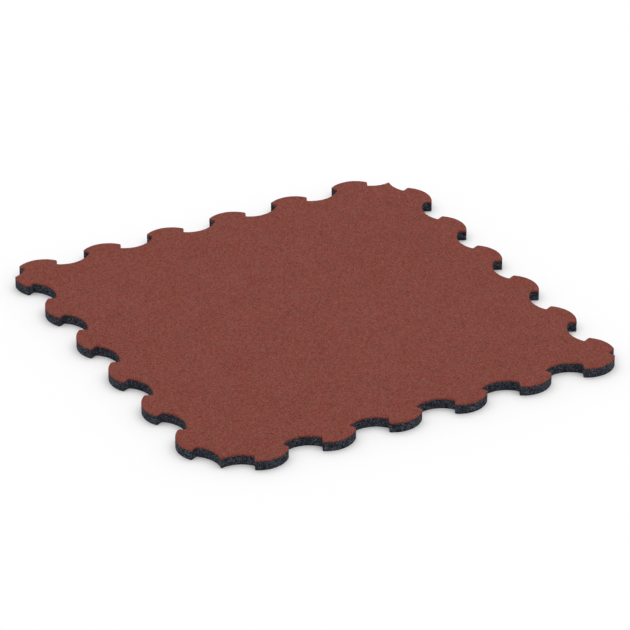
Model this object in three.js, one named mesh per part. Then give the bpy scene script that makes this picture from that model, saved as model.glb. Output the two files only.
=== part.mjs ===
// Interlocking stall mat: a square of moulded rubber granules with puzzle edges on all four sides.
// A coloured wear layer lies on a thicker black base layer and is bonded to it, face to face.
// Millimetres, +Z up. The origin is the centre of the underside, and the mat lies flat.
//
// All four sides follow one edge line, drawn here with s along the side and c square to it.
// The line swings to and fro once in each pitch: out in a round tab, then in by the same round
// recess. So each side takes the tabs of the opposite side of the next mat in the row.
// A tab leans: the shoulder where its arc begins stands high, and the one where it ends is low.

import * as THREE from 'three';

// Plan of the edge line
const TABS_PER_SIDE = 6;
const TAB_PITCH = 158;
const TAB_RADIUS = 63;
const TAB_REACH = 26;
const HIGH_SHOULDER = 14.5;
const LOW_SHOULDER = 1;
const SHOULDER_ROUNDING = 2;

// Thickness of the two layers
const BASE_THICKNESS = 20;
const WEAR_THICKNESS = 5;

// Straight steps that stand for the round stretches
const TAB_ARC_STEPS = 12;
const SHOULDER_STEPS = 2;

// Colours
const WEAR_COLOUR = 0x814840;
const BASE_COLOUR = 0x282c32;
const RUBBER_ROUGHNESS = 0.95;

// What follows from these sizes: the laid square, and half a pitch, which holds one tab or recess
const laidSize = TABS_PER_SIDE * TAB_PITCH;
const half = laidSize / 2;
const lobeLength = TAB_PITCH / 2;

const arcCentre = new THREE.Vector2(lobeLength / 2, TAB_REACH - TAB_RADIUS);

// Sharp corner of the tab at a given height, before its crown (side -1) or after it (side +1)
function shoulderCorner(height, side) {
  const rise = height - arcCentre.y;
  const run = Math.sqrt(TAB_RADIUS ** 2 - rise ** 2);
  return new THREE.Vector2(arcCentre.x + side * run, height);
}

// A recess is the tab moved along by a number of lobes and turned over.
function turnedOver(point, lobes) {
  return new THREE.Vector2(point.x + lobes * lobeLength, -point.y);
}

// Centre of the small circle that rounds a shoulder. It touches the tab's arc from inside and
// the flank that comes up to the corner from the root of the neighbouring recess.
function roundingCentre(root, corner, inward) {
  const up = corner.clone().sub(root).normalize();
  const start = root.clone().addScaledVector(inward, SHOULDER_ROUNDING).sub(arcCentre);
  const along = start.dot(up);
  const reach = TAB_RADIUS - SHOULDER_ROUNDING;
  const travel = Math.sqrt(along ** 2 - start.lengthSq() + reach ** 2) - along;
  return start.addScaledVector(up, travel).add(arcCentre);
}

function clockwiseArc(centre, radius, from, to, steps) {
  const arc = new THREE.EllipseCurve(centre.x, centre.y, radius, radius, from, to, true);
  return arc.getPoints(steps);
}

// One tab, from the end of the flank before it to the start of the flank after it
function tabPoints() {
  const high = shoulderCorner(HIGH_SHOULDER, -1);
  const low = shoulderCorner(LOW_SHOULDER, 1);
  const rootBefore = turnedOver(low, -1);
  const rootAfter = turnedOver(high, 1);

  const before = high.clone().sub(rootBefore).normalize();
  const after = low.clone().sub(rootAfter).normalize();
  const inwardBefore = new THREE.Vector2(before.y, -before.x);
  const inwardAfter = new THREE.Vector2(-after.y, after.x);
  const highCentre = roundingCentre(rootBefore, high, inwardBefore);
  const lowCentre = roundingCentre(rootAfter, low, inwardAfter);

  const arcStart = highCentre.clone().sub(arcCentre).angle();
  const arcEnd = lowCentre.clone().sub(arcCentre).angle();
  const flankBefore = inwardBefore.clone().negate().angle();
  const flankAfter = inwardAfter.clone().negate().angle();
  return [
    ...clockwiseArc(highCentre, SHOULDER_ROUNDING, flankBefore, arcStart, SHOULDER_STEPS),
    ...clockwiseArc(arcCentre, TAB_RADIUS, arcStart, arcEnd, TAB_ARC_STEPS).slice(1),
    ...clockwiseArc(lowCentre, SHOULDER_ROUNDING, arcEnd, flankAfter, SHOULDER_STEPS).slice(1),
  ];
}

// The edge line of one side, with one lobe more than the side has at either end
function edgeLine() {
  const tab = tabPoints();
  const line = [];
  for (let lobe = -1; lobe <= 2 * TABS_PER_SIDE; lobe += 1) {
    const isTab = lobe % 2 === 0;
    for (const point of tab) {
      const along = point.x + lobe * lobeLength;
      line.push(isTab ? new THREE.Vector2(along, point.y) : turnedOver(point, lobe));
    }
  }
  return line;
}

// Two sides meet where the edge line crosses the diagonal through a corner of the laid square,
// because each side is the other one mirrored in that diagonal. The line crosses it three times.
function diagonalCrossings(line, cornerAlong) {
  const above = (point) => point.y - (point.x - cornerAlong);
  const crossings = [];
  for (let next = 1; next < line.length; next += 1) {
    const a = above(line[next - 1]);
    const b = above(line[next]);
    if (a > 0 !== b > 0) {
      const point = line[next - 1].clone().lerp(line[next], a / (a - b));
      crossings.push({ next, point });
    }
  }
  return crossings;
}

function stretchOf(line, from, to) {
  return [from.point, ...line.slice(from.next, to.next), to.point];
}

// The outline, anticlockwise. The lines along X run through at the corners and the lines along Y
// stop at them, which gives two corners a notch between two tabs and two corners a single point.
function matOutline() {
  const line = edgeLine();
  const start = diagonalCrossings(line, 0);
  const end = diagonalCrossings(line, laidSize);
  const south = stretchOf(line, start.at(-1), end.at(-1));
  const north = stretchOf(line, start[0], end[0]).reverse();
  const east = stretchOf(line, start.at(-1), end[0]);
  const west = east.toReversed();
  const sides = [
    south.map((p) => new THREE.Vector2(p.x - half, p.y - half)),
    east.map((p) => new THREE.Vector2(p.y + half, p.x - half)),
    north.map((p) => new THREE.Vector2(p.x - half, p.y + half)),
    west.map((p) => new THREE.Vector2(p.y - half, p.x - half)),
  ];
  return sides.flatMap((side) => side.slice(0, -1));
}

function layer(name, outline, thickness, height, colour) {
  const geometry = new THREE.ExtrudeGeometry(new THREE.Shape(outline), {
    depth: thickness,
    bevelEnabled: false,
  });
  const material = new THREE.MeshStandardMaterial({
    color: colour,
    roughness: RUBBER_ROUGHNESS,
    metalness: 0,
  });
  const mesh = new THREE.Mesh(geometry, material);
  mesh.name = name;
  mesh.position.z = height;
  return mesh;
}

const outline = matOutline();
const mat = new THREE.Group();
mat.add(layer('base_layer', outline, BASE_THICKNESS, 0, BASE_COLOUR));
mat.add(layer('wear_layer', outline, WEAR_THICKNESS, BASE_THICKNESS, WEAR_COLOUR));

export default mat;
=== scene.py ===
"""Interlocking stall mat: the looks of its two rubber layers, in metres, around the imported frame.

Each layer's wall is an irregular mosaic of pressed rubber granules, laid round the outline. The
outline and the layers' heights come from the frame. Colours are linear.
"""

import math

import bpy
import numpy as np
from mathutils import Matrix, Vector
from mathutils.geometry import delaunay_2d_cdt
from mathutils.kdtree import KDTree


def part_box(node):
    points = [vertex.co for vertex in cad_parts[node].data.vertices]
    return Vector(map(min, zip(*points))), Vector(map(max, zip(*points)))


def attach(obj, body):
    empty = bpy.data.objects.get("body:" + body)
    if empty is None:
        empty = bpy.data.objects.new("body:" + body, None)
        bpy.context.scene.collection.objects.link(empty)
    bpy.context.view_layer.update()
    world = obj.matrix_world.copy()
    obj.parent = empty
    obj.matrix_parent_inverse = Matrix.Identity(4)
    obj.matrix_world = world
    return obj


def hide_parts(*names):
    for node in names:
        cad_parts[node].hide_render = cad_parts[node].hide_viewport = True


MM = 0.001

# Camera, as the photograph was taken: the floor point it aims at, and where it stands from there
AIM = (0.0246, 0.0223, 0.0)
CAMERA_AZIMUTH = 28.42
CAMERA_ELEVATION = 29.47
CAMERA_DISTANCE = 8.962
CAMERA_REACH = 100
LENS = 234.17
SENSOR = 36.0

# Light: a white studio dome, strongest high up all round, and stronger behind on the right than in
# front on the left. It is white again just above the floor's far edge, where low views see it. Each
# stop is the sine of an elevation and the dome's share of its full strength there.
DOME_STRENGTH = 1.55
DOME_LOW_STOPS = ((0.0, 1.0), (0.04, 1.0), (0.12, 0.43), (0.60, 0.43))
DOME_HIGH_STOPS = ((0.78, 1.0), (0.96, 1.0), (1.0, 0.7))
DOME_SLANT = 0.38
DOME_AZIMUTH = 45.0

# Floor
FLOOR_COLOUR = (0.90, 0.90, 0.90)
FLOOR_RADIUS = 12.0
FLOOR_SIDES = 96

# Reading the frame: the normal's Z below which a face belongs to the underside, and the decimals
# of a metre to which two corners are the same
UNDERSIDE_NORMAL = -0.9
PLACE_DECIMALS = 6

# Outline: its even steps, and how far its sharp corners are eased
OUTLINE_STEP = 0.4 * MM
CORNER_SOFTNESS = 0.6 * MM

# The frame's faceted arcs: the turn below which a corner is on a round stretch, and the points
# from one corner to the next of the curve that is laid through them
ROUND_TURN = math.radians(20)
CURVE_STEPS = 24

# Tips of the outline: the most relief there, as a share of the sharpest bend's radius, and how
# many steps away a bend still counts
TIP_ROOM = 0.65
TIP_REACH = 6

# Line between the layers: how far it wanders, in how many waves, and how high above it the wear
# layer still has black granules
INTERFACE_WAVE = 0.5 * MM
INTERFACE_WAVES = 190
LOW_BLACK_HEIGHT = 2.8 * MM

# Walls: width of the granules, and round of each layer's free edge
BASE_GRANULE = 3.3 * MM
WEAR_GRANULE = 1.9 * MM
BASE_ROUNDING = 0.6 * MM
WEAR_ROUNDING = 0.6 * MM

# Relief of the walls. The depths are of the crevices between granules, of the most sunken granule
# and of a granule's crown above its rim. A granule's face takes a share of its width, and tilts.
BASE_RELIEF = {
    "crevice": (0.25 * MM, 0.6 * MM),
    "face_size": (0.55, 0.9),
    "tilt": 0.07,
    "sunk": 0.25 * MM,
    "crown": 0.1 * MM,
}
WEAR_RELIEF = {
    "crevice": (0.15 * MM, 0.45 * MM),
    "face_size": (0.6, 0.85),
    "tilt": 0.05,
    "sunk": 0.25 * MM,
    "crown": 0.05 * MM,
}

# How far a granule's seed strays from an even grid, how near it may come to a rim, and the width
# of the overlap at the band's seam, all in granules
SEED_STRAY = 0.42
RIM_ROOM = 0.3
SEAM_MARGIN = 6

# Moulded faces: the grid of their points, how far these stray and keep off the rim, as shares of
# the grid, how uneven the wear face is, and the shade that stands in for a granule's there
FACE_GRID = 8.0 * MM
HIDDEN_GRID = 20.0 * MM
GRID_STRAY = 0.3
RIM_GAP = 0.5
FACE_WAVE = 0.12 * MM
MIDDLE_SHADE = 0.5

# Merging distance of the triangulations
MERGE = 1e-9

# Seeds of the random draws: for the line between the layers, and for each layer
EDGE_SEED = 41
LAYER_SEED = 54

# Colours of the granules. A pair of tints is the factors at the two ends of a pattern.
WEAR_DARK = (0.138, 0.011, 0.002)
WEAR_LIGHT = (0.296, 0.098, 0.0755)
WEAR_WIDE_TINTS = ((0.94, 1.06, 1.06), (1.06, 0.94, 0.94))
WEAR_CLOSE_TINTS = ((1.00, 1.05, 0.94), (1.00, 0.95, 1.06))
WEAR_GRANULE_TINTS = ((1.00, 1.06, 0.93), (1.00, 0.94, 1.07))
# Black of some of the lowest granules of the wear layer's wall
LOW_WALL_BLACK = (0.026, 0.027, 0.034)
BASE_DARK = (0.002, 0.0025, 0.0045)
BASE_LIGHT = (0.108, 0.121, 0.161)
BASE_PALE = (0.120, 0.133, 0.156)
BASE_CRUMB_TINTS = ((1.14, 0.94, 0.95), (0.85, 1.07, 1.05))
BASE_WIDE_TINTS = ((0.86, 1.06, 0.96), (1.12, 0.95, 1.06))

# Crumbs, the finer granules that break up the others' shade, and their share in it
WEAR_CRUMB = 0.9 * MM
WEAR_CRUMB_SHARE = 0.3
BASE_CRUMB = 1.9 * MM
BASE_CRUMB_SHARE = 0.75

# Base layer: width of the shaded granules on its faces, a power that leaves most crumbs dark, and
# the random values, out of 1, between which a crumb turns pale
BASE_FACE_GRANULE = 3.2 * MM
BASE_CONTRAST = 2.6
BASE_PALE_FROM = (0.965, 0.97)


def cad_outline(node):
    """The corners of a node's underside, anticlockwise from above.

    A side that two of its faces share runs both ways, and a side of the outline only one way.
    """
    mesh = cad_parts[node].data
    sides = []
    for face in mesh.polygons:
        if face.normal.z > UNDERSIDE_NORMAL:
            continue
        corners = [mesh.vertices[i].co.xy for i in face.vertices]
        ring = [tuple(round(c, PLACE_DECIMALS) for c in corner) for corner in corners]
        sides += zip(ring[1:] + ring[:1], ring)
    known = set(sides)
    following = {start: end for start, end in sides if (end, start) not in known}
    loop = [next(iter(following))]
    while following[loop[-1]] != loop[0]:
        loop.append(following[loop[-1]])
    return np.array(loop)


def unit(vectors):
    return vectors / np.linalg.norm(vectors, axis=1, keepdims=True)


def even_steps(points, step):
    """A closed line's points at even steps of about the given length."""
    closed = np.vstack([points, points[:1]])
    along = np.r_[0, np.cumsum(np.linalg.norm(np.diff(closed, axis=0), axis=1))]
    count = round(along[-1] / step)
    at = np.arange(count) * along[-1] / count
    return np.column_stack([np.interp(at, along, closed[:, k]) for k in range(2)])


def smooth_curve(corners):
    """A closed curve through the corners, round where they turn little and sharp where not."""
    ahead = np.roll(corners, -1, axis=0) - corners
    direction = unit(ahead)
    before = np.roll(direction, 1, axis=0)
    turn = np.arccos(np.clip((direction * before).sum(axis=1), -1, 1))
    is_round = (turn < ROUND_TURN)[:, None]
    mean = unit(direction + before)
    leave = np.where(is_round, mean, direction)
    arrive = np.roll(np.where(is_round, mean, before), -1, axis=0)

    length = np.linalg.norm(ahead, axis=1)[:, None, None]
    t = np.linspace(0, 1, CURVE_STEPS, endpoint=False)[None, :, None]
    start = corners[:, None, :]
    end = np.roll(corners, -1, axis=0)[:, None, :]
    curve = (
        start * (2 * t**3 - 3 * t**2 + 1)
        + end * (3 * t**2 - 2 * t**3)
        + leave[:, None, :] * length * (t**3 - 2 * t**2 + t)
        + arrive[:, None, :] * length * (t**3 - t**2)
    )
    return curve.reshape(-1, 2)


def rounded_outline(corners):
    """The outline at close even steps, its faceted arcs made round and its sharp corners eased."""
    fine = even_steps(smooth_curve(corners), OUTLINE_STEP)
    reach = int(3 * CORNER_SOFTNESS / OUTLINE_STEP)
    away = np.arange(-reach, reach + 1) * OUTLINE_STEP / CORNER_SOFTNESS
    weights = np.exp(-0.5 * away**2)
    weights /= weights.sum()
    eased = sum(w * np.roll(fine, k - reach, axis=0) for k, w in enumerate(weights))
    return even_steps(eased, OUTLINE_STEP)


class Edge:
    """The mat's outline as a closed track: place and outward direction at any length along it."""

    def __init__(self, points, rng):
        self.points = points
        step = np.linalg.norm(np.roll(points, -1, axis=0) - points, axis=1)
        self.along = np.r_[0, np.cumsum(step)]
        self.length = self.along[-1]
        tangent = unit(np.roll(points, -2, axis=0) - np.roll(points, 2, axis=0))
        self.outward = np.column_stack([tangent[:, 1], -tangent[:, 0]])
        self.wave = rng.uniform(-1, 1, INTERFACE_WAVES)

        # How deep relief may go before the wall would fold, where the outline turns round a tip
        turned = np.roll(tangent, -1, axis=0)
        bend = (tangent[:, 0] * turned[:, 1] - tangent[:, 1] * turned[:, 0]) / OUTLINE_STEP
        sharpest = np.max([np.roll(bend, k) for k in range(-TIP_REACH, TIP_REACH + 1)], axis=0)
        self.room = TIP_ROOM / np.maximum(sharpest, 1.0)

    def look_up(self, table, u):
        """Values given at the outline's points, read at any length u along it."""
        closed = np.concatenate([table, table[:1]])
        return np.interp(np.mod(u, self.length), self.along, closed)

    def at(self, u, inward):
        """The points of the outline at u, moved inward, but not so far that the wall folds."""
        n = np.column_stack([self.look_up(self.outward[:, k], u) for k in range(2)])
        place = np.column_stack([self.look_up(self.points[:, k], u) for k in range(2)])
        inward = np.minimum(inward, self.look_up(self.room, u))
        return place - unit(n) * inward[:, None]

    def interface_height(self, u):
        """How far the line between the layers wanders up or down, the same for both layers."""
        at = np.mod(u, self.length) / self.length * INTERFACE_WAVES
        low = np.floor(at).astype(int) % INTERFACE_WAVES
        blend = (1 - np.cos(np.pi * (at % 1))) / 2
        wave = self.wave[low] * (1 - blend) + self.wave[(low + 1) % INTERFACE_WAVES] * blend
        return INTERFACE_WAVE * wave


class Profile:
    """A layer's wall from its lower edge to its upper one, with a small round at its free edge."""

    def __init__(self, low, high, rounding, free_edge):
        self.low = low
        self.high = high
        self.rounding = rounding
        self.free_edge = free_edge
        self.arc = rounding * math.pi / 2
        self.length = high - low - rounding + self.arc

    def at(self, t):
        """Inset, height, and the relief's direction as its outward and upward parts."""
        from_free = t if self.free_edge == "low" else self.length - t
        angle = np.clip(1 - from_free / self.arc, 0, 1) * math.pi / 2
        inset = self.rounding * (1 - np.cos(angle))
        straight = np.clip(from_free - self.arc, 0, None)
        rise = np.where(straight > 0, self.rounding + straight, self.rounding * (1 - np.sin(angle)))
        if self.free_edge == "low":
            return inset, self.low + rise, np.cos(angle), -np.sin(angle)
        return inset, self.high - rise, np.cos(angle), np.sin(angle)

    def from_free_edge(self, z):
        """How far a height is from the free edge, as a share of the layer's thickness."""
        share = (z - self.low) / (self.high - self.low)
        return np.clip(share if self.free_edge == "low" else 1 - share, 0, 1)


def triangulate(points, border=None):
    """The triangles between points in a plane, all of them or only those inside a border.

    The border and each triangle are given by the numbers of their points.
    """
    plan = [Vector(p) for p in points.tolist()]
    borders = [border] if border else []
    inside_only = 1 if border else 0
    _, _, triangles, sources, _, _ = delaunay_2d_cdt(plan, [], borders, inside_only, MERGE)
    source = np.array([numbers[0] for numbers in sources])
    return source[np.array(triangles)]


class Mosaic:
    """A closed band of irregular granules, seen flat: u runs round the band and t across it.

    The granules are the cells round scattered seeds. A cell's corners are the middles of the
    triangles between neighbouring seeds, and a side of a triangle is named by its running number.
    """

    def __init__(self, round_length, height, size, rng):
        self.round_length = round_length
        self.height = height
        seeds = self.scatter(size, rng)
        self.count = len(seeds)
        names = self.place_corners(seeds, SEAM_MARGIN * size)
        self.pair_sides(names)
        self.straighten_rims()
        self.place_cells(seeds)

    def scatter(self, size, rng):
        """Seeds at random places near the points of an even grid, every other row of it shifted."""
        rows = max(2, round(self.height / size))
        columns = round(self.round_length / size)
        row, column = np.mgrid[0:rows, 0:columns]
        stray = rng.uniform(-SEED_STRAY, SEED_STRAY, (2, rows, columns))
        u = np.mod(column + 0.5 * (row % 2) + stray[0], columns) * self.round_length / columns
        t = np.clip(row + 0.5 + stray[1], RIM_ROOM, rows - RIM_ROOM) * self.height / rows
        return np.column_stack([u.ravel(), t.ravel()])

    def place_corners(self, seeds, margin):
        """Place the cells' corners, and return the names of the three seeds round each of them.

        Beyond either rim the seeds have mirror images, and all seeds are repeated past the seam.
        A seed's name is its number, plus the count of seeds for the lower mirror image, and plus
        twice the count for the upper one.
        """
        below = np.column_stack([seeds[:, 0], -seeds[:, 1]])
        above = np.column_stack([seeds[:, 0], 2 * self.height - seeds[:, 1]])
        whole = np.vstack([seeds, below, above])
        name = np.arange(len(whole))
        first = whole[:, 0] < margin
        last = whole[:, 0] > self.round_length - margin
        turn = (self.round_length, 0)
        points = np.vstack([whole, whole[first] + turn, whole[last] - turn])
        name = np.concatenate([name, name[first], name[last]])

        triangles = triangulate(points)
        middle = points[triangles].mean(axis=1)
        names = name[triangles]
        once = (middle[:, 0] >= 0) & (middle[:, 0] < self.round_length)
        touches = (names < self.count).any(axis=1)
        names, self.corners = names[once & touches], middle[once & touches]
        image = names // self.count
        self.corners[(image == 1).any(axis=1), 1] = 0
        self.corners[(image == 2).any(axis=1), 1] = self.height
        return names

    def pair_sides(self, names):
        """For each side that starts at a real seed: its cell, its two corners and the side before.

        The side's own triangle gives one corner, and its twin, which runs back, the one before.
        """
        start = names.ravel()
        end = np.roll(names, -1, axis=1).ravel()
        most = 3 * self.count
        key = start * most + end
        order = np.argsort(key)
        side = np.flatnonzero(start < self.count)
        back = end[side] * most + start[side]
        twin = order[np.searchsorted(key[order], back)]
        self.cell = start[side]
        self.corner = side // 3
        self.corner_before = twin // 3
        rank = np.zeros(len(start), int)
        rank[side] = np.arange(len(side))
        self.side_before = rank[twin - twin % 3 + (twin % 3 + 1) % 3]
        image = end[side] // self.count
        low_rim, high_rim = image == 1, image == 2
        self.rims = [
            self.rim(self.corner_before[low_rim], self.corner[low_rim]),
            self.rim(self.corner[high_rim], self.corner_before[high_rim]),
        ]

    def rim(self, starts, ends):
        """The corners along one rim in order of u, from the steps that the cells' outlines take."""
        following = dict(zip(starts.tolist(), ends.tolist()))
        loop = [min(following, key=lambda corner: self.corners[corner, 0])]
        while following[loop[-1]] != loop[0]:
            loop.append(following[loop[-1]])
        return np.array(loop)

    def straighten_rims(self):
        """Sort the corners along each rim by u, so that no rim doubles back."""
        for rim in self.rims:
            self.corners[rim, 0] = np.sort(self.corners[rim, 0])

    def place_cells(self, seeds):
        """The middle of each cell, and the places of the corners round it from there."""
        half = self.round_length / 2
        offset = self.corners[self.corner] - seeds[self.cell]
        offset[:, 0] = np.mod(offset[:, 0] + half, self.round_length) - half
        corners_round = np.bincount(self.cell)
        mean = [np.bincount(self.cell, offset[:, k]) / corners_round for k in range(2)]
        self.middles = seeds + np.column_stack(mean)
        self.offsets = offset + seeds[self.cell] - self.middles[self.cell]


def granule_wall(edge, profile, size, relief, rng):
    """Vertices, faces, the shade of each face, and the lower and upper rims of one layer's wall."""
    mosaic = Mosaic(edge.length, profile.length, size, rng)
    sides = len(mosaic.cell)

    # Crevices along the cells' outlines, and inside each a face near the wall's plane
    crevice = rng.uniform(*relief["crevice"], len(mosaic.corners))
    crevice[np.concatenate(mosaic.rims)] = relief["crevice"][0]
    sunk = relief["sunk"] * rng.uniform(0, 1, mosaic.count) ** 2
    tilt = rng.normal(0, relief["tilt"], (mosaic.count, 2))
    reach = mosaic.offsets * rng.uniform(*relief["face_size"], (sides, 1))
    face_depth = sunk[mosaic.cell] + (tilt[mosaic.cell] * reach).sum(axis=1)
    crown_depth = sunk - relief["crown"]
    flat = np.vstack([mosaic.corners, mosaic.middles[mosaic.cell] + reach, mosaic.middles])
    depth = np.clip(np.concatenate([crevice, face_depth, crown_depth]), 0, None)

    u, t = flat.T
    inset, z, out, rising = profile.at(t)
    z = z + edge.interface_height(u) * profile.from_free_edge(z) ** 2 - rising * depth
    plan = edge.at(u, inset + out * depth)

    face = len(mosaic.corners) + np.arange(sides)
    face_before = face[mosaic.side_before]
    crown = len(mosaic.corners) + sides + mosaic.cell
    flanks = np.column_stack([mosaic.corner_before, mosaic.corner, face, face_before])
    fans = np.column_stack([face_before, face, crown])
    shade = rng.uniform(0, 1, mosaic.count)[mosaic.cell]
    vertices = np.column_stack([plan, z])
    return vertices, flanks.tolist() + fans.tolist(), np.tile(shade, 2), mosaic.rims


def inside_ring(points, ring):
    """Which points lie inside a closed ring, by counting the ring's edges to their right."""
    inside = np.zeros(len(points), bool)
    following = np.roll(ring, -1, axis=0)
    for (ax, ay), (bx, by) in zip(ring, following):
        crosses = (ay > points[:, 1]) != (by > points[:, 1])
        if not crosses.any():
            continue
        x = ax + (points[crosses, 1] - ay) * (bx - ax) / (by - ay)
        inside[crosses] ^= points[crosses, 0] < x
    return inside


def grid_inside(ring, grid, rng):
    """Uneven grid points inside a ring, clear of the ring itself."""
    low, high = ring.min(axis=0), ring.max(axis=0)
    across = np.arange(low[0], high[0], grid)
    along = np.arange(low[1], high[1], grid)
    points = np.stack(np.meshgrid(across, along), axis=-1).reshape(-1, 2)
    points += rng.uniform(-GRID_STRAY, GRID_STRAY, points.shape) * grid
    points = points[inside_ring(points, ring)]
    tree = KDTree(len(ring))
    for index, (x, y) in enumerate(ring):
        tree.insert((x, y, 0), index)
    tree.balance()
    is_clear = [tree.find((x, y, 0))[2] > RIM_GAP * grid for x, y in points]
    return points[is_clear]


def cap(vertices, rim, grid, wave, height, faces_up, rng):
    """New vertices and triangles that close a wall's rim with a nearly flat face."""
    ring = vertices[rim, :2]
    points = grid_inside(ring, grid, rng)
    new = np.arange(len(points)) + len(vertices)
    triangles = triangulate(np.vstack([ring, points]), border=list(range(len(rim))))
    triangles = np.concatenate([rim, new])[triangles]
    if not faces_up:
        triangles = triangles[:, ::-1]
    z = height + rng.uniform(-1, 1, len(points)) * wave
    return np.column_stack([points, z]), triangles.tolist()


def granule_object(name, vertices, faces, shades, material):
    """An object whose first faces are granules, each with its shade, and whose rest is moulded."""
    mesh = bpy.data.meshes.new(name)
    mesh.from_pydata(vertices.tolist(), [], faces)
    moulded = np.ones(len(faces), np.float32)
    moulded[: len(shades)] = 0
    shade = np.full(len(faces), MIDDLE_SHADE, np.float32)
    shade[: len(shades)] = shades
    for label, values in (("granule", shade), ("moulded_face", moulded)):
        mesh.attributes.new(label, "FLOAT", "FACE").data.foreach_set("value", values)
    mesh.polygons.foreach_set("use_smooth", moulded.astype(bool))
    mesh.validate()
    mesh.update()
    mesh.materials.append(material)
    piece = bpy.data.objects.new(name, mesh)
    bpy.context.scene.collection.objects.link(piece)
    return piece


def layer_piece(name, node, edge, profile, granule, relief, top, material):
    """One rubber layer as a closed mesh: its granule wall, its upper face and its underside."""
    rng = np.random.default_rng(LAYER_SEED)
    vertices, faces, shades, (low_rim, high_rim) = granule_wall(edge, profile, granule, relief, rng)
    top_grid, top_wave = top
    caps = (
        (low_rim, HIDDEN_GRID, 0, profile.low, False),
        (high_rim, top_grid, top_wave, profile.high - top_wave, True),
    )
    for rim, grid, wave, height, faces_up in caps:
        added, triangles = cap(vertices, rim, grid, wave, height, faces_up, rng)
        vertices = np.vstack([vertices, added])
        faces += triangles
    piece = granule_object(name, vertices, faces, shades, material)
    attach(piece, "root")
    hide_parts(node)


class NodeTree:
    """Short names for building a tree of shader nodes."""

    def __init__(self, tree):
        self.nodes = tree.nodes
        self.links = tree.links

    def connect(self, value, socket):
        """Link what another node gives, or set a fixed value."""
        if isinstance(value, bpy.types.NodeSocket):
            self.links.new(value, socket)
        elif socket.type == "RGBA":
            socket.default_value = (*value, 1.0)
        else:
            socket.default_value = value

    def node(self, kind, inputs=None, **settings):
        new = self.nodes.new(kind)
        for key, value in settings.items():
            setattr(new, key, value)
        for key, value in (inputs or {}).items():
            self.connect(value, new.inputs[key])
        return new

    def parts(self, colour):
        return self.node("ShaderNodeSeparateColor", {0: colour}).outputs

    def grey(self, value):
        return self.node("ShaderNodeCombineColor", {0: value, 1: value, 2: value}).outputs[0]

    def math(self, operation, a, b=0.0, c=0.0):
        return self.node("ShaderNodeMath", {0: a, 1: b, 2: c}, operation=operation).outputs[0]

    def span(self, value, low, high, to_low=0.0, to_high=1.0):
        inputs = {"Value": value, 1: low, 2: high, 3: to_low, 4: to_high}
        return self.node("ShaderNodeMapRange", inputs).outputs["Result"]

    def mix(self, share, a, b, blend="MIX"):
        inputs = {0: share, 6: a, 7: b}
        return self.node("ShaderNodeMix", inputs, data_type="RGBA", blend_type=blend).outputs[2]

    def mix_value(self, share, a, b):
        return self.node("ShaderNodeMix", {0: share, 2: a, 3: b}).outputs[0]

    def tint(self, colour, *factors):
        for factor in factors:
            colour = self.mix(1.0, colour, factor, "MULTIPLY")
        return colour


class Rubber(NodeTree):
    """A material's node tree, with patterns of a given size in metres that lie still on the mat."""

    def __init__(self, name):
        self.material = bpy.data.materials.new(name)
        self.material.use_nodes = True
        super().__init__(self.material.node_tree)
        self.surface = self.nodes["Principled BSDF"]
        self.place = self.node("ShaderNodeTexCoord").outputs["Object"]
        self.height = self.node("ShaderNodeSeparateXYZ", {0: self.place}).outputs["Z"]
        self.on_face = self.attribute("moulded_face")

    def attribute(self, name):
        return self.node("ShaderNodeAttribute", attribute_name=name).outputs["Fac"]

    def warp(self, size, amount):
        """Bend the patterns laid from here on, so that their granules get uneven outlines."""
        inputs = {"Vector": self.place, "Scale": 1 / size, "Detail": 3.0}
        bend = self.node("ShaderNodeTexNoise", inputs).outputs["Color"]
        inputs = {0: bend, 1: (amount, amount, amount), 2: self.place}
        self.place = self.node("ShaderNodeVectorMath", inputs, operation="MULTIPLY_ADD").outputs[0]

    def noise(self, size, detail=2.0, roughness=0.5):
        inputs = {"Vector": self.place, "Scale": 1 / size, "Detail": detail, "Roughness": roughness}
        return self.node("ShaderNodeTexNoise", inputs).outputs["Fac"]

    def drift(self, tints, size, detail=2.0, roughness=0.5, reach=0.2):
        """A tint that wanders between two, and is all one or the other this far from the mean."""
        noise = self.noise(size, detail, roughness)
        return self.mix(self.span(noise, 0.5 - reach, 0.5 + reach), *tints)

    def voronoi(self, size, feature="F1"):
        inputs = {"Vector": self.place, "Scale": 1 / size}
        return self.node("ShaderNodeTexVoronoi", inputs, feature=feature)

    def granules(self, size):
        """The distance from the middle of each shaded granule, and three random values for it."""
        cells = self.voronoi(size).outputs
        return cells["Distance"], self.parts(cells["Color"])

    def shade_of(self, random):
        """A random value for each granule: its own on a wall, and the shaded one's on a face."""
        return self.mix_value(self.on_face, self.attribute("granule"), random)

    def gap(self, size, low, high, darkest):
        """Painted shade in the crevices between the patterned granules of a moulded face, as a
        factor, and 1 elsewhere.
        """
        distance = self.voronoi(size, "DISTANCE_TO_EDGE").outputs["Distance"]
        return self.mix_value(self.on_face, 1.0, self.span(distance, low, high, darkest, 1.0))

    def bump(self, height, distance, strength, normal=None):
        inputs = {"Height": height, "Distance": distance, "Strength": strength}
        if normal is not None:
            inputs["Normal"] = normal
        return self.node("ShaderNodeBump", inputs).outputs["Normal"]

    def pillowed(self, distance, depth, strength):
        """A normal that makes each shaded granule of a face a low dome."""
        hollow = self.math("POWER", distance, 2.0)
        return self.bump(self.math("MULTIPLY", hollow, self.on_face), -depth, strength)

    def finish(self, colour, normal, roughness, specular):
        self.connect(colour, self.surface.inputs["Base Color"])
        self.connect(normal, self.surface.inputs["Normal"])
        self.surface.inputs["Roughness"].default_value = roughness
        self.surface.inputs["Specular IOR Level"].default_value = specular
        return self.material


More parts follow.
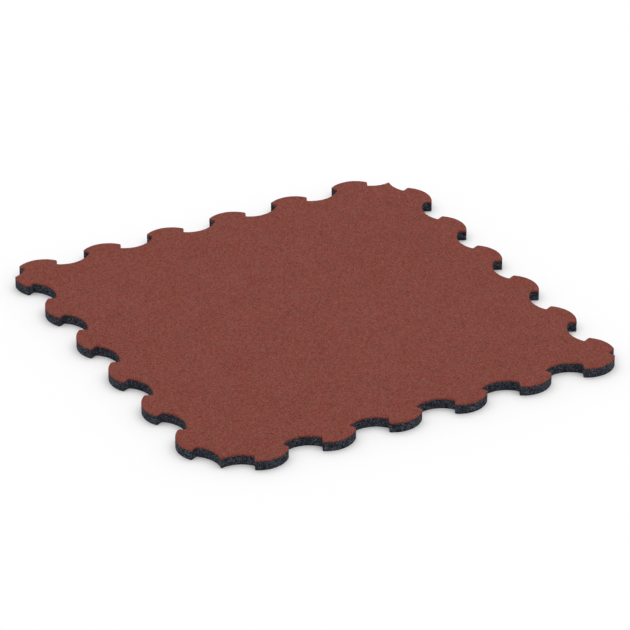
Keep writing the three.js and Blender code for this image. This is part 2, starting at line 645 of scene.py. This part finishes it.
def wear_rubber(low, black_up_to):
    """Red-brown fine granules with painted shade in the gaps between them, brownish in some places
    and pinker in others.

    Some of the lowest granules, up to a given height, are black, and more of them the lower they
    are.
    """
    rubber = Rubber("wear_rubber")
    rubber.warp(size=1.5 * MM, amount=1.6 * MM)
    distance, random = rubber.granules(WEAR_GRANULE)
    _, crumb = rubber.granules(WEAR_CRUMB)
    shade = rubber.mix_value(WEAR_CRUMB_SHARE, rubber.shade_of(random[0]), crumb[0])
    cloud = rubber.noise(size=80 * MM, detail=5, roughness=0.75)
    cloud = rubber.span(cloud, 0.3, 0.7, to_low=-0.05, to_high=0.05)
    colour = rubber.mix(rubber.math("ADD", shade, cloud), WEAR_DARK, WEAR_LIGHT)

    wide_tint = rubber.drift(WEAR_WIDE_TINTS, size=30 * MM, detail=4, roughness=0.7)
    close_tint = rubber.drift(WEAR_CLOSE_TINTS, size=12 * MM)
    own_tint = rubber.mix(random[1], *WEAR_GRANULE_TINTS)
    colour = rubber.tint(colour, wide_tint, close_tint, own_tint)
    # Some of the lowest granules are black, more of them the lower down
    black_share = rubber.span(rubber.height, low, black_up_to, to_low=1.0, to_high=0.0)
    is_black = rubber.math("LESS_THAN", random[2], black_share)
    colour = rubber.mix(is_black, colour, LOW_WALL_BLACK)
    # Painted shade in the crevices between the granules of the moulded faces
    gap = rubber.gap(WEAR_GRANULE, low=0.0, high=0.14, darkest=0.55)
    colour = rubber.tint(colour, rubber.grey(gap))

    rough = rubber.noise(size=0.6 * MM, detail=4, roughness=0.6)
    normal = rubber.pillowed(distance, depth=0.5 * MM, strength=0.6)
    normal = rubber.bump(rough, distance=0.2 * MM, strength=0.6, normal=normal)
    return rubber.finish(colour, normal, roughness=0.92, specular=0.2)


def base_rubber():
    """Blue-black coarse granules with finer crumbs, about one in thirty of them pale."""
    rubber = Rubber("base_rubber")
    rubber.warp(size=2.0 * MM, amount=2.2 * MM)
    distance, random = rubber.granules(BASE_FACE_GRANULE)
    _, crumb = rubber.granules(BASE_CRUMB)
    shade = rubber.mix_value(BASE_CRUMB_SHARE, rubber.shade_of(random[0]), crumb[0])
    shade = rubber.math("POWER", shade, BASE_CONTRAST)
    colour = rubber.mix(shade, BASE_DARK, BASE_LIGHT)

    own_tint = rubber.mix(crumb[2], *BASE_CRUMB_TINTS)
    wide_tint = rubber.drift(BASE_WIDE_TINTS, size=18 * MM, detail=3, reach=0.15)
    colour = rubber.tint(colour, own_tint, wide_tint)
    colour = rubber.mix(rubber.span(crumb[1], *BASE_PALE_FROM), colour, BASE_PALE)
    fine = rubber.noise(size=0.8 * MM, detail=4, roughness=0.65)
    fine = rubber.span(fine, 0.3, 0.7, to_low=0.70, to_high=1.30)
    # Crumbs of random tone, and painted shade in the crevices between the granules of the moulded
    # faces
    gap = rubber.gap(BASE_FACE_GRANULE, low=0.02, high=0.08, darkest=0.35)
    colour = rubber.tint(colour, rubber.grey(rubber.math("MULTIPLY", fine, gap)))

    rough = rubber.noise(size=0.7 * MM, detail=4, roughness=0.65)
    normal = rubber.pillowed(distance, depth=0.9 * MM, strength=0.7)
    normal = rubber.bump(rough, distance=0.3 * MM, strength=0.7, normal=normal)
    return rubber.finish(colour, normal, roughness=0.85, specular=0.25)


def floor_paint():
    material = bpy.data.materials.new("floor_paint")
    material.use_nodes = True
    surface = material.node_tree.nodes["Principled BSDF"]
    surface.inputs["Base Color"].default_value = (*FLOOR_COLOUR, 1.0)
    surface.inputs["Roughness"].default_value = 1.0
    surface.inputs["Specular IOR Level"].default_value = 0.0
    return material


def make_floor():
    turn = np.arange(FLOOR_SIDES) * 2 * math.pi / FLOOR_SIDES
    rim = np.column_stack([np.cos(turn), np.sin(turn), np.zeros(FLOOR_SIDES)]) * FLOOR_RADIUS
    mesh = bpy.data.meshes.new("floor")
    mesh.from_pydata(rim.tolist(), [], [list(range(FLOOR_SIDES))])
    mesh.materials.append(floor_paint())
    floor = bpy.data.objects.new("floor", mesh)
    bpy.context.scene.collection.objects.link(floor)


def towards(azimuth, elevation):
    """The direction at an azimuth, clockwise from +Y, and an elevation, both in degrees."""
    azimuth, elevation = math.radians(azimuth), math.radians(elevation)
    level = math.cos(elevation)
    return Vector((math.sin(azimuth) * level, math.cos(azimuth) * level, math.sin(elevation)))


def make_light():
    world = bpy.data.worlds.new("studio_dome")
    world.use_nodes = True
    dome = NodeTree(world.node_tree)
    direction = dome.node("ShaderNodeTexCoord").outputs["Generated"]
    sine = dome.node("ShaderNodeSeparateXYZ", {0: direction}).outputs["Z"]
    ramp = dome.node("ShaderNodeValToRGB", {"Fac": sine})
    stops = ramp.color_ramp.elements
    wanted = DOME_LOW_STOPS + DOME_HIGH_STOPS
    while len(stops) < len(wanted):
        stops.new(0.5)
    for stop, (position, share) in zip(stops, wanted):
        stop.position = position
        stop.color = (share, share, share, 1.0)
    brighter = {0: direction, 1: towards(DOME_AZIMUTH, 0.0)}
    slant = dome.node("ShaderNodeVectorMath", brighter, operation="DOT_PRODUCT").outputs["Value"]
    strength = dome.math("MULTIPLY_ADD", slant, DOME_SLANT * DOME_STRENGTH, DOME_STRENGTH)
    background = dome.nodes["Background"]
    dome.connect(ramp.outputs["Color"], background.inputs["Color"])
    dome.connect(strength, background.inputs["Strength"])
    bpy.context.scene.world = world
    bpy.context.scene.view_settings.view_transform = "Standard"


def make_camera():
    forward = towards(CAMERA_AZIMUTH, -CAMERA_ELEVATION)
    data = bpy.data.cameras.new("camera")
    data.lens = LENS
    data.sensor_width = SENSOR
    data.clip_end = CAMERA_REACH
    camera = bpy.data.objects.new("camera", data)
    camera.location = Vector(AIM) - forward * CAMERA_DISTANCE
    camera.rotation_euler = forward.to_track_quat("-Z", "Y").to_euler()
    bpy.context.scene.collection.objects.link(camera)
    bpy.context.scene.camera = camera


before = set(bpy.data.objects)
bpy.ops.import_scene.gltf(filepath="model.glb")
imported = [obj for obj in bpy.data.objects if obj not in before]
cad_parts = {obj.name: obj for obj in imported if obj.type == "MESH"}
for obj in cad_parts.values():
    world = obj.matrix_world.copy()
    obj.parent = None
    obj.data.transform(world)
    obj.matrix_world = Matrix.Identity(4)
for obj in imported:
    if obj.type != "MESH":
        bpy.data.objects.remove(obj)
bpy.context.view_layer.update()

make_camera()
make_light()
make_floor()

base_low, base_high = (corner.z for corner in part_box("base_layer"))
wear_low, wear_high = (corner.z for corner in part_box("wear_layer"))
outline = rounded_outline(cad_outline("base_layer"))
mat_edge = Edge(outline, np.random.default_rng(EDGE_SEED))

layer_piece(
    name="base_granules",
    node="base_layer",
    edge=mat_edge,
    profile=Profile(base_low, base_high, BASE_ROUNDING, "low"),
    granule=BASE_GRANULE,
    relief=BASE_RELIEF,
    top=(HIDDEN_GRID, 0),
    material=base_rubber(),
)
layer_piece(
    name="wear_granules",
    node="wear_layer",
    edge=mat_edge,
    profile=Profile(wear_low, wear_high, WEAR_ROUNDING, "high"),
    granule=WEAR_GRANULE,
    relief=WEAR_RELIEF,
    top=(FACE_GRID, FACE_WAVE),
    material=wear_rubber(wear_low, wear_low + LOW_BLACK_HEIGHT),
)
